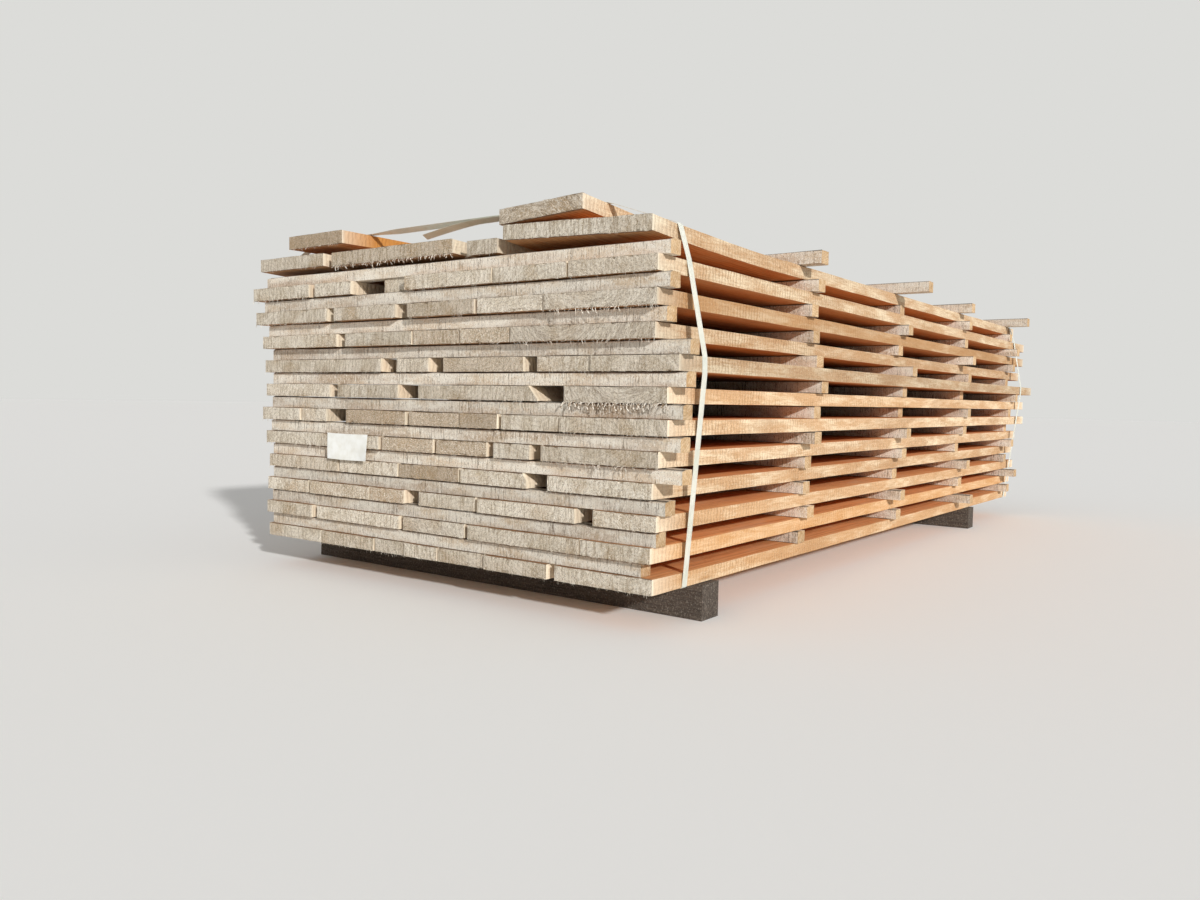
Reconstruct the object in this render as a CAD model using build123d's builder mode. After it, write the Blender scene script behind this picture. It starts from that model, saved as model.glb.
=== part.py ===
from build123d import *
import os

# A pack of rough-sawn hardwood boards, stacked for drying and strapped for the yard. Twelve courses of
# boards in random widths lie flat, with thin laths (stickers) between them in five columns, so that air
# reaches every face. Two bearers keep the pack off the ground for a forklift, and two straps hold it.
# Millimetres. +X runs across the pack, +Y along the boards away from the labelled ends, +Z up.

# Boards
BOARD_THICKNESS = 27.0
BOARD_LENGTH = 2400.0
FAR_END_SCATTER = 15.0
SIDE_SCATTER = 6.0

# Stickers
STICKER_THICKNESS = 25.0
STICKER_WIDTH = 35.0
STICKER_INSET = 14.0
STICKER_REACH = 1050.0
STICKER_COLUMNS = 5
FRONT_STICKER_SETBACK = 4.0
REAR_STICKER_INSET = 162.0
TOP_LATH_THICKNESS = 27.0

# Bearers under the pack
BEARER_HEIGHT = 65.0
BEARER_WIDTH = 60.0
BEARER_LENGTH = 1049.0
FRONT_BEARER_SETBACK = 156.0
REAR_BEARER_INSET = 528.0

# Straps
STRAP_WIDTH = 16.0
STRAP_THICKNESS = 0.9
STRAP_CLEARANCE = 0.2
FRONT_STRAP_FOOT_SETBACK = 108.0
FRONT_STRAP_HEAD_SETBACK = 64.0
REAR_STRAP_INSET = 101.0

# Card on the board ends
CARD_WIDTH = 125.0
CARD_HEIGHT = 54.0
CARD_THICKNESS = 0.5
CARD_LEFT = 225.0
CARD_HEIGHT_ABOVE_BOARDS = 183.0

# Sprung ends of the top course: the stretch that curls up, and the steps it is drawn in
SPRUNG_LENGTH = 480.0
SPRUNG_STEPS = 6

# Loose boards on top of the pack: the short one ends before the second lath, and the long one falls
# short of the boards' length
LOOSE_RIGHT_WIDTH = 185.0
LOOSE_RIGHT_END_GAP = 49.125
LOOSE_RIGHT_LEFT = 711.0
LOOSE_RIGHT_TILT = 10.0
LOOSE_LEFT_WIDTH = 177.0
LOOSE_LEFT_SHORTFALL = 50.0
LOOSE_LEFT_LEFT = 103.0

# Clearance under a loose piece that meets another at an angle
SEAT_CLEARANCE = 0.3

# Courses from the lowest up. X is measured from the pack's left line and Y from its front line.
# Each is (left edge, front setback, far end past the nominal length, boards), and each board is
# (width, gap to the next one, its own setback from the course's front).
COURSES = (
    (9, 8, -60, ((184, 3, 1), (164, 3, 0), (86, 3, 3), (90, 2, 1), (121, 3, 4), (150, 16, 0), (203, 0, 2))),
    (7, 4, -30, ((160, 14, 0), (258, 9, 2), (168, 12, 5), (264, 2, 1), (142, 0, 0))),
    (5, 6, -20, ((144, 7, 2), (193, 2, 0), (101, 40, 1), (151, 8, 4), (228, 38, 0), (127, 0, 1))),
    (10, 8, 0, ((238, 4, 0), (179, 2, 1), (166, 6, 3), (162, 49, 1), (218, 0, 0))),
    (3, 3, -20, ((194, 3, 2), (182, 6, 0), (145, 9, 3), (130, 19, 4), (86, 28, 2), (243, 0, 0))),
    (-5, 1, 10, ((133, 3, 0), (82, 68, 4), (179, 8, 1), (136, 2, 3), (95, 9, 2), (134, 2, 3), (220, 0, 0))),
    (-1, 5, 20, ((222, 29, 3), (184, 57, 0), (301, 60, 2), (210, 0, 0))),
    (-4, 7, 60, ((386, 44, 0), (90, 38, 2), (201, 32, 4), (116, 2, 3), (175, 0, 0))),
    (1, -4, 30, ((254, 29, 1), (197, 2, 0), (124, 3, 3), (123, 2, 2), (306, 0, 0))),
    (-10, -15, 50, ((245, 26, 2), (185, 34, 0), (177, 5, 1), (155, 4, 3), (229, 0, 0))),
    (-14, -17, 45, ((196, 17, 0), (115, 82, 2), (75, 3, 20), (226, 2, 1), (167, 5, 2), (178, 0, 0))),
    (1, -9, -45, ((217, 26, 0), (350, 33, 2), (74, 19, 5), (315, 0, 0))),
)
# Boards whose upper right arris is lost to wane, by course and board, both counted from 0: its width
# and depth as shares of the thickness
WANE = {(3, 3): (0.35, 0.5), (6, 2): (0.8, 0.9)}
# How far the left and right edges of each top board curl up at its front end
TOP_COURSE_LIFT = ((12, 12), (10, 10), (3, 3), (23, 12))

# Right ends of the stickers in the first two columns, from the pack's left line, lowest first
STICKER_ENDS = (
    (1013, 1043, 1058, 1088, 1087, 1089, 1092, 1098, 1060, 1072, 1068),
    (1045, 1056, 1056, 1050, 1081, 1070, 1077, 1075, 1058, 1064, 1069),
)
# Laths on the top course: column, right end from the pack's left line
TOP_LATHS = {1: 1084, 2: 1122, 3: 1074, 4: 1106}

COURSE_PITCH = BOARD_THICKNESS + STICKER_THICKNESS
FIRST_STICKER_CENTRE = FRONT_STICKER_SETBACK + STICKER_WIDTH / 2
LAST_STICKER_CENTRE = BOARD_LENGTH - REAR_STICKER_INSET
STICKER_SPACING = (LAST_STICKER_CENTRE - FIRST_STICKER_CENTRE) / (STICKER_COLUMNS - 1)
REAR_BEARER_SETBACK = BOARD_LENGTH - REAR_BEARER_INSET - BEARER_WIDTH
REAR_STRAP_SETBACK = BOARD_LENGTH - REAR_STRAP_INSET - STRAP_WIDTH


def course_bottom(number):
    return BEARER_HEIGHT + number * COURSE_PITCH


def course_boards(number):
    """Left edge, right edge, front end and far end of each board of a course."""
    left, front, far, boards = COURSES[number]
    laid = []
    for place, (width, gap, setback) in enumerate(boards):
        scatter = FAR_END_SCATTER * ((3 * place + 2 * number) % 7 - 3)
        if place == len(boards) - 1:
            scatter = 0
        laid.append((left, left + width, front + setback, BOARD_LENGTH + far + scatter))
        left += width + gap
    return laid


def sticker_end(column, number):
    """Right end of a sticker, from the pack's left line."""
    if column < len(STICKER_ENDS):
        return STICKER_ENDS[column][number]
    return STICKER_REACH + SIDE_SCATTER * ((5 * column + 3 * number) % 8 - 1)


def sticker_centre(column, number):
    """Place of a sticker along the boards."""
    if column == 0:
        front = max(COURSES[number][1], COURSES[number + 1][1]) + FRONT_STICKER_SETBACK
        return front + STICKER_WIDTH / 2
    scatter = SIDE_SCATTER * ((2 * column + 3 * number) % 7 - 3)
    return FIRST_STICKER_CENTRE + column * STICKER_SPACING + scatter


TOP_COURSE = len(COURSES) - 1
TOP_OF_BOARDS = course_bottom(TOP_COURSE) + BOARD_THICKNESS
TOP_OF_PACK = TOP_OF_BOARDS + TOP_LATH_THICKNESS + BOARD_THICKNESS
ALL_BOARDS = [board for number in range(len(COURSES)) for board in course_boards(number)]

# The origin is on the floor under the middle of everything
LEFTMOST = min(board[0] for board in ALL_BOARDS) - STRAP_CLEARANCE - STRAP_THICKNESS
RIGHTMOST = max(TOP_LATHS.values())
FOREMOST = min(board[2] for board in ALL_BOARDS)
HINDMOST = max(board[3] for board in ALL_BOARDS)
MIDDLE = Vector((LEFTMOST + RIGHTMOST) / 2, (FOREMOST + HINDMOST) / 2)
ground = Plane(origin=(-MIDDLE.X, -MIDDLE.Y, 0))


def upright(distance):
    """Plane across the pack at a distance behind its front line, with its Y axis up."""
    return Plane(origin=(-MIDDLE.X, distance - MIDDLE.Y, 0), x_dir=(1, 0, 0), z_dir=(0, -1, 0))


def leaning(foot, head):
    """Plane across the pack that passes one distance behind the front line at the floor and another at the
    top of the pack, and how much longer an upright is on it."""
    lean = head - foot
    plane = Plane(origin=(-MIDDLE.X, foot - MIDDLE.Y, 0), x_dir=(1, 0, 0), z_dir=(0, -TOP_OF_PACK, lean))
    return plane, Vector(lean, TOP_OF_PACK).length / TOP_OF_PACK


def footprint(left, right, front, back, bottom):
    """Outline of a square-edged piece that lies flat."""
    with BuildSketch(ground.offset(bottom)) as outline:
        with Locations(((left + right) / 2, (front + back) / 2)):
            Rectangle(right - left, back - front)
    return outline.sketch


def lath_outline(end, centre, bottom):
    """Outline of a lath that crosses the pack, from its right end and its place along the boards."""
    half = STICKER_WIDTH / 2
    return footprint(STICKER_INSET, end, centre - half, centre + half, bottom)


def waney_end(left, right, front, bottom, wane):
    """End of a board with wane, on an upright plane."""
    top = bottom + BOARD_THICKNESS
    wane_width, wane_depth = (share * BOARD_THICKNESS for share in wane)
    with BuildSketch(upright(front)) as outline:
        with BuildLine():
            Polyline(
                (left, bottom),
                (right, bottom),
                (right, top - wane_depth),
                (right - wane_width, top),
                (left, top),
                close=True,
            )
        make_face()
    return outline.sketch


def section(left, right, bottom_left, bottom_right, thickness, distance):
    """Cross-section of a twisted board, on an upright plane."""
    with BuildSketch(upright(distance)) as outline:
        with BuildLine():
            Polyline(
                (left, bottom_left),
                (right, bottom_right),
                (right, bottom_right + thickness),
                (left, bottom_left + thickness),
                close=True,
            )
        make_face()
    return outline.sketch


def lift_at(distance, lift):
    """Height of a sprung board over its seat, at a distance behind its front end."""
    return lift * max(0, 1 - distance / SPRUNG_LENGTH) ** 2


pieces = {}

for number in range(TOP_COURSE):
    bottom = course_bottom(number)
    with BuildPart() as course:
        for place, (left, right, front, back) in enumerate(course_boards(number)):
            if (number, place) in WANE:
                extrude(waney_end(left, right, front, bottom, WANE[number, place]), amount=front - back)
            else:
                extrude(footprint(left, right, front, back, bottom), amount=BOARD_THICKNESS)
    pieces[f"board_course_{number + 1:02d}"] = course.part

# The front ends of the top boards have sprung up off the first sticker
with BuildPart() as top_course:
    for (left, right, front, back), (lift_left, lift_right) in zip(course_boards(TOP_COURSE), TOP_COURSE_LIFT):
        bottom = course_bottom(TOP_COURSE)
        steps = [SPRUNG_LENGTH * step / SPRUNG_STEPS for step in range(SPRUNG_STEPS + 1)]
        sections = [
            section(
                left,
                right,
                bottom + lift_at(distance, lift_left),
                bottom + lift_at(distance, lift_right),
                BOARD_THICKNESS,
                front + distance,
            )
            for distance in steps
        ]
        sections.append(section(left, right, bottom, bottom, BOARD_THICKNESS, back))
        loft(sections, ruled=True)
pieces[f"board_course_{TOP_COURSE + 1:02d}"] = top_course.part

for column in range(STICKER_COLUMNS):
    with BuildPart() as stickers:
        for number in range(TOP_COURSE):
            end = sticker_end(column, number)
            centre = sticker_centre(column, number)
            extrude(lath_outline(end, centre, course_bottom(number) + BOARD_THICKNESS), amount=STICKER_THICKNESS)
        if column in TOP_LATHS:
            end = TOP_LATHS[column]
            centre = sticker_centre(column, TOP_COURSE)
            extrude(lath_outline(end, centre, TOP_OF_BOARDS), amount=TOP_LATH_THICKNESS)
    pieces[f"sticker_column_{column + 1}"] = stickers.part

# A short board lies on the right-hand top board, with its right edge curled up
top_front = course_boards(TOP_COURSE)[-1][2]
loose_right_rest = TOP_OF_BOARDS + SEAT_CLEARANCE
loose_right_nose = loose_right_rest + TOP_COURSE_LIFT[-1][0]
loose_right_right = LOOSE_RIGHT_LEFT + LOOSE_RIGHT_WIDTH
loose_right_back = sticker_centre(1, TOP_COURSE) - STICKER_WIDTH / 2 - LOOSE_RIGHT_END_GAP
loose_right_ends = [
    section(
        LOOSE_RIGHT_LEFT,
        loose_right_right,
        loose_right_nose,
        loose_right_nose + LOOSE_RIGHT_TILT,
        BOARD_THICKNESS,
        top_front,
    ),
    section(
        LOOSE_RIGHT_LEFT,
        loose_right_right,
        loose_right_rest,
        loose_right_rest,
        BOARD_THICKNESS,
        loose_right_back,
    ),
]
with BuildPart() as loose_right:
    loft(loose_right_ends, ruled=True)
pieces["loose_board_right"] = loose_right.part

# A long board lies on the laths that lie on the top course
loose_left_outline = footprint(
    LOOSE_LEFT_LEFT,
    LOOSE_LEFT_LEFT + LOOSE_LEFT_WIDTH,
    top_front,
    top_front + BOARD_LENGTH - LOOSE_LEFT_SHORTFALL,
    TOP_OF_BOARDS + TOP_LATH_THICKNESS,
)
with BuildPart() as loose_left:
    extrude(loose_left_outline, amount=BOARD_THICKNESS)
pieces["loose_board_left"] = loose_left.part

for name, setback in (("bearer_front", FRONT_BEARER_SETBACK), ("bearer_rear", REAR_BEARER_SETBACK)):
    with BuildPart() as bearer:
        extrude(footprint(0, BEARER_LENGTH, setback, setback + BEARER_WIDTH, 0), amount=BEARER_HEIGHT)
    pieces[name] = bearer.part


def strap_corners(distance):
    """Corner points of what a strap lies against, at a distance of its head behind the front line."""
    corners = []
    for number in range(TOP_COURSE):
        boards = course_boards(number)
        for side in (boards[0][0], boards[-1][1]):
            corners += [(side, course_bottom(number)), (side, course_bottom(number) + BOARD_THICKNESS)]
    for (left, right, front, back), lifts in zip(course_boards(TOP_COURSE), TOP_COURSE_LIFT):
        for side, lift in zip((left, right), lifts):
            corners.append((side, TOP_OF_BOARDS + lift_at(distance - front, lift)))
    corners += [(LOOSE_LEFT_LEFT, TOP_OF_PACK), (LOOSE_LEFT_LEFT + LOOSE_LEFT_WIDTH, TOP_OF_PACK)]
    share = (distance - top_front) / (loose_right_back - top_front)
    if share < 1:
        low = loose_right_rest + (1 - share) * TOP_COURSE_LIFT[-1][0] + BOARD_THICKNESS
        high = low + (1 - share) * LOOSE_RIGHT_TILT
        corners += [(LOOSE_RIGHT_LEFT, low), (LOOSE_RIGHT_LEFT + LOOSE_RIGHT_WIDTH, high)]
    return corners


# The front strap leans towards the front at its head
for name, foot, head in (
    ("strap_front", FRONT_STRAP_FOOT_SETBACK, FRONT_STRAP_HEAD_SETBACK),
    ("strap_rear", REAR_STRAP_SETBACK, REAR_STRAP_SETBACK),
):
    plane, stretch = leaning(foot, head)
    corners = [(across, height * stretch) for across, height in strap_corners(head)]
    with BuildSketch(plane) as wrapped:
        with BuildLine() as edges:
            for start, end in zip(corners, corners[1:]):
                Line(start, end)
        make_hull(edges.edges())
    with BuildPart() as strap:
        with BuildSketch(plane):
            outside = STRAP_CLEARANCE + STRAP_THICKNESS
            offset(wrapped.sketch_local, amount=outside, kind=Kind.INTERSECTION)
            offset(wrapped.sketch_local, amount=STRAP_CLEARANCE, kind=Kind.INTERSECTION, mode=Mode.SUBTRACT)
        extrude(amount=STRAP_WIDTH, dir=(0, 1, 0))
    pieces[name] = strap.part

# The card lies against the proudest of the board ends that it crosses
card_front = min(board[2] for number in (3, 4) for board in course_boards(number))
with BuildPart() as card:
    with BuildSketch(upright(card_front - SEAT_CLEARANCE)):
        with Locations((CARD_LEFT + CARD_WIDTH / 2, BEARER_HEIGHT + CARD_HEIGHT_ABOVE_BOARDS + CARD_HEIGHT / 2)):
            Rectangle(CARD_WIDTH, CARD_HEIGHT)
    extrude(amount=CARD_THICKNESS)
pieces["label_card"] = card.part

os.makedirs("parts", exist_ok=True)
for name, part in pieces.items():
    part.label = name
    export_step(part, f"parts/{name}.step")
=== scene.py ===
"""Dresses a strapped pack of rough-sawn hardwood boards, with its stickers, bearers, straps and card."""

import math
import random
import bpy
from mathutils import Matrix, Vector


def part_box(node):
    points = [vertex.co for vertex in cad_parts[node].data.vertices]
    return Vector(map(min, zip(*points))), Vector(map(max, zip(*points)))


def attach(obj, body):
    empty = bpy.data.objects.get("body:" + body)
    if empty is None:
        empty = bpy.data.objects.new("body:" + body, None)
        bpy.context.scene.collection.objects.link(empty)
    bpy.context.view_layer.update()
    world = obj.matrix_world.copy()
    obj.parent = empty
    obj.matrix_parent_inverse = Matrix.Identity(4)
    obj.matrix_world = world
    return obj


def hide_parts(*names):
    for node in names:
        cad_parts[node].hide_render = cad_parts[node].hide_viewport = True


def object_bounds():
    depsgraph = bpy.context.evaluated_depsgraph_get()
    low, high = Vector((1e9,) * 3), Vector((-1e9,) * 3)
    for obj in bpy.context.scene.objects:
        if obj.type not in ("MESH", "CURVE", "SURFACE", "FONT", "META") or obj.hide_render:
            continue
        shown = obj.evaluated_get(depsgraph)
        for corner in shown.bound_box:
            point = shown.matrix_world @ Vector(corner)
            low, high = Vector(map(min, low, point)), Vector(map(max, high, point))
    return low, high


bl_info = {
    "name": "Stack of lumber",
    "version": (1, 0, 0),
    "blender": (4, 5, 0),
    "location": "3D View > Sidebar > Lumber",
    "description": "Builds the looks of a strapped pack of rough-sawn boards around its packed frame",
    "category": "Object",
}

import bmesh
import bpy
import numpy as np
from mathutils import Matrix, Vector, noise

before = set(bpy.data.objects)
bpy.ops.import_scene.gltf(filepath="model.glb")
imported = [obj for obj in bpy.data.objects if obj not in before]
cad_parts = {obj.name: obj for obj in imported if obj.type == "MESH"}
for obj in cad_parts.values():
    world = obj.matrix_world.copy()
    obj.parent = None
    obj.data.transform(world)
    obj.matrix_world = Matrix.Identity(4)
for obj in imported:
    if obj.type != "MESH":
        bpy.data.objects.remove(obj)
CAD_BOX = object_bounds()

MM = 0.001
# Points nearer to each other than WELD are one, and a point nearer than TOUCH to a side lies on it
WELD = 0.01 * MM
TOUCH = 0.05 * MM
# Triangles that meet at less than this are parts of one flat face
FLAT_ANGLE = math.radians(0.6)
# A face whose normal has at least this share along Z looks up or down
SQUARE_FACE = 0.7

COURSES = sorted(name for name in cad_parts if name.startswith("board_course"))
STICKERS = sorted(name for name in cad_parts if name.startswith("sticker_column"))


# Small helpers


def linear(text):
    """Linear colour with alpha from an sRGB hex value."""
    values = [int(text[place : place + 2], 16) / 255 for place in (0, 2, 4)]
    return tuple(v / 12.92 if v <= 0.04045 else ((v + 0.055) / 1.055) ** 2.4 for v in values) + (1.0,)


def add_node(tree, kind, values=None, output=0):
    """Adds a node and gives one of its outputs. A kind without Node in it is a shader node. A name with a dot
    is a property of the node, and any other name or number is an input: a socket or a plain value."""
    node = tree.nodes.new(kind if "Node" in kind else "ShaderNode" + kind)
    for name, value in sorted((values or {}).items(), key=lambda item: str(item[0])[0] != "."):
        if str(name)[0] == ".":
            setattr(node, name[1:], value)
        elif isinstance(value, bpy.types.NodeSocket):
            tree.links.new(value, node.inputs[name])
        else:
            node.inputs[name].default_value = value
    return node.outputs[output] if node.outputs else None


def new_material(name):
    """Material with an empty node tree, and the tree."""
    material = bpy.data.materials.new(name)
    material.use_nodes = True
    material.node_tree.nodes.clear()
    return material, material.node_tree


def add_shader(tree, values):
    """Ends a material's tree with its shader and its output."""
    add_node(tree, "OutputMaterial", {"Surface": add_node(tree, "BsdfPrincipled", values)})


def new_object(name, data):
    made = bpy.data.objects.new(name, data)
    bpy.context.scene.collection.objects.link(made)
    return made


def add_mesh(mesh, added):
    """Adds one mesh to another and frees it."""
    joined = bmesh.new()
    joined.from_mesh(mesh)
    joined.from_mesh(added)
    joined.to_mesh(mesh)
    joined.free()
    bpy.data.meshes.remove(added)


def evaluated_mesh(piece):
    """Plain mesh of an object as its modifiers leave it."""
    bpy.context.view_layer.update()
    return bpy.data.meshes.new_from_object(piece.evaluated_get(bpy.context.evaluated_depsgraph_get()))


def finish_piece(piece, node):
    """Puts a finished piece on the body and hides the node it stands for."""
    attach(piece, "root")
    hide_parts(node)


# What the photograph shows of single boards, by course and board, both counted from 0


# How brown the end is
BROWN_BOARDS = {
    (2, 1): 0.6,
    (2, 2): 0.9,
    (3, 0): 0.4,
    (3, 2): 0.9,
    (4, 2): 0.8,
    (4, 3): 0.9,
    (5, 2): 1.0,
    (5, 3): 0.9,
    (5, 4): 0.8,
    (7, 2): 0.6,
    (8, 2): 0.7,
    (8, 3): 0.7,
    (9, 2): 0.5,
    (11, 1): 0.6,
}
# How strongly the end is streaked
STREAKED_BOARDS = {(1, 2): 0.8, (6, 3): 0.9, (8, 4): 0.9, (9, 3): 0.5, (9, 4): 0.7, (10, 5): 0.4}
# Tone and warmth of the right-hand boards' sides
SIDE_FINISHES = {
    (0, 6): (0.8, 0.4),
    (1, 4): (1.0, 0.6),
    (2, 5): (0.95, 0.3),
    (3, 4): (0.7, 0.3),
    (4, 5): (0.9, 0.1),
    (5, 6): (1.0, 0.0),
    (6, 3): (0.95, 0.3),
    (7, 4): (0.1, 0.1),
    (8, 4): (0.35, 0.3),
    (9, 4): (0.15, 0.5),
    (10, 5): (0.6, 0.0),
    (11, 3): (0.55, 0.0),
}
# How thickly torn fibres hang under the end
TORN_BOARDS = {(4, 5): 0.6, (6, 3): 1.0, (8, 4): 0.5, (9, 4): 0.7, (11, 1): 0.75, (10, 0): 0.5, (0, 2): 0.4}
# End finish and side finish of the boards that lie loose on top
LOOSE_FINISHES = {
    "loose_board_left": ((0.0, 1.0, 0.1), (0.5, 1.0, 0.0)),
    "loose_board_right": ((0.35, 0.55, 1.0), (0.7, 0.1, 0.0)),
}
# Weathering of the sides that look into the narrow gaps between the boards of a course
GAP_WEATHERING = 0.5


# Settings


def colour_setting(name, description, colour):
    values = {"name": name, "description": description, "default": linear(colour)}
    return bpy.props.FloatVectorProperty(subtype="COLOR", size=4, **values)


def length_setting(name, description, length):
    values = {"name": name, "description": description, "default": length * MM}
    return bpy.props.FloatProperty(subtype="DISTANCE", **values)


def angle_setting(name, description, degrees):
    values = {"name": name, "description": description, "default": math.radians(degrees)}
    return bpy.props.FloatProperty(subtype="ANGLE", **values)


class TimberSettings(bpy.types.PropertyGroup):
    end_colour: colour_setting("Board ends", "Weathered end grain of the boards", "fbf0dd")
    edge_colour: colour_setting("Board edges", "Sawn narrow edges of the boards", "cba780")
    face_colour: colour_setting("Board faces", "Sawn wide faces of the boards", "dd9a60")
    sticker_colour: colour_setting("Stickers", "Sawn laths between the courses", "f3e9d8")
    end_relief: length_setting("End relief", "Depth of the rough saw cut on the board ends", 1.2)
    fibre_length: length_setting("Fibre length", "Length of the longest torn fibre under a board end", 13)
    fibre_spacing: length_setting("Fibre spacing", "Distance between fibres on a badly torn arris", 2.2)
    arris_wear: length_setting("Arris wear", "How far the arrises of the board ends are worn back", 1.6)
    wander: length_setting("Edge wander", "How far a long edge wanders from a straight line", 1)
    lath_wane: length_setting("Lath wane", "How far the front laths' rough faces lie behind straight ones", 4)
    end_mesh: length_setting("End mesh", "Spacing of the mesh over the board ends", 4)
    seed: bpy.props.IntProperty(name="Seed", description="Seed of the chance variation", default=7)


class StageSettings(bpy.types.PropertyGroup):
    floor_colour: colour_setting("Floor", "Plain pale floor", "f8f7f4")
    camera_place: bpy.props.FloatVectorProperty(
        name="Camera place",
        description="Camera from the pack's middle, on the floor",
        subtype="TRANSLATION",
        size=3,
        default=(1.3095, -2.5074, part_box("bearer_front")[1].z + 0.3151),
    )
    camera_heading: angle_setting("Camera heading", "Turn of the camera to the left of the boards", 36.25)
    camera_pitch: angle_setting("Camera pitch", "Tilt of the camera below level", 2.99)
    camera_roll: angle_setting("Camera roll", "Roll of the camera", 1.11)
    lens: bpy.props.FloatProperty(
        name="Lens", description="Focal length on a 36 mm wide sensor", unit="CAMERA", default=28.4
    )
    key_strength: bpy.props.FloatProperty(
        name="Key light", description="Strength of the soft light at the right", default=3.1
    )
    key_spread: angle_setting("Key spread", "Width of the soft light", 3)
    sky_strength: bpy.props.FloatProperty(
        name="Even light", description="Strength of the even light", default=0.42
    )


# Timber materials


def timber_coordinates(tree, finish):
    """Sockets that the timber materials start from: the place in the log, whose axis runs along Y, and
    three values of the finish. They are tone, brownness and streaks for the ends, and tone, warmth and
    weathering for the sides and faces. On the wide faces the third value near the ends also darkens them as
    painted shade, and on the laths it marks the band under the boards, painted near-black as shade."""
    place, values = (
        add_node(tree, "Attribute", {".attribute_name": name}, "Vector") for name in ("log_place", finish)
    )
    return place, *add_node(tree, "SeparateXYZ", {"Vector": values}).node.outputs


def blotches(place, size, detail=4.0, roughness=0.6, stretch=(1, 1, 1)):
    """Cloudy pattern whose patches are about as large as size, in millimetres. They are longer along an axis
    that has a stretch of less than 1."""
    tree = place.id_data
    scaled = add_node(tree, "Mapping", {"Vector": place, "Scale": stretch})
    values = {"Vector": scaled, "Scale": 1 / (size * MM), "Detail": detail, "Roughness": roughness}
    return add_node(tree, "TexNoise", values)


# A wave texture goes round once in this length at a scale of 1
WAVE_LENGTH = 2 * math.pi / 20


def waves(place, kind, axis, pitch, waviness, detail_scale=1.0, stretch=(1, 1, 1), turn=0.0):
    """Rings round an axis or bands square to it, a pitch apart in millimetres, stretched and turned."""
    tree = place.id_data
    mapping = {"Vector": place, "Scale": stretch, "Rotation": (0, 0, turn)}
    values = {
        ".wave_type": kind,
        ".rings_direction" if kind == "RINGS" else ".bands_direction": axis,
        "Vector": add_node(tree, "Mapping", mapping),
        "Scale": WAVE_LENGTH / (pitch * MM),
        "Distortion": waviness,
        "Detail": 3.0,
        "Detail Scale": detail_scale,
        "Detail Roughness": 0.65,
    }
    return add_node(tree, "TexWave", values, "Fac")


def round_the_pith(place, along):
    """A place for a pattern that runs round the pith, as growth rings do: its distance from the pith, and
    its X and Z made small by a factor."""
    tree = place.id_data
    flat = add_node(tree, "Mapping", {"Vector": place, "Scale": (1, 0, 1)})
    distance = add_node(tree, "VectorMath", {".operation": "LENGTH", 0: flat}, "Value")
    small = add_node(tree, "Mapping", {"Vector": place, "Scale": (along, 1, along)})
    x, y, z = add_node(tree, "SeparateXYZ", {"Vector": small}).node.outputs
    return add_node(tree, "CombineXYZ", {"X": distance, "Y": x, "Z": z})


def coated(tree, colour, coats):
    """Lays thin coats over a colour, one after another. Each has its colour, the value that says where it
    lies, the two ends between which it comes in, and its greatest share, a number or a socket."""
    for over, value, start, end, share in coats:
        ranged = {"Value": value, "From Min": start, "From Max": end, "To Max": share}
        laid = add_node(tree, "MapRange", ranged)
        colour = add_node(tree, "Mix", {".data_type": "RGBA", 0: laid, 6: colour, 7: linear(over)}, 2)
    return colour


def bumped(tree, heights):
    """Normal that several patterns raise, each by its depth in millimetres."""
    normal = {}
    for height, depth in heights:
        values = {"Strength": 1.0, "Distance": depth * MM, "Height": height, **normal}
        normal = {"Normal": add_node(tree, "Bump", values)}
    return normal["Normal"]


def finish_timber(material, colour, coats, tone, levels, roughness, heights):
    """Ends a material of dull, dry timber with no polish: a colour with its coats, which the board's tone
    makes darker or lighter between two levels."""
    tree = material.node_tree
    level = add_node(tree, "MapRange", {"Value": tone, "To Min": levels[0], "To Max": levels[1]})
    grey = add_node(tree, "CombineColor", {"Red": level, "Green": level, "Blue": level})
    mix = {".data_type": "RGBA", ".blend_type": "MULTIPLY", 0: 1.0, 6: coated(tree, colour, coats), 7: grey}
    dull = {"Base Color": add_node(tree, "Mix", mix, 2), "Roughness": roughness, "Specular IOR Level": 0.25}
    add_shader(tree, {**dull, "Normal": bumped(tree, heights)})
    return material


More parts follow.
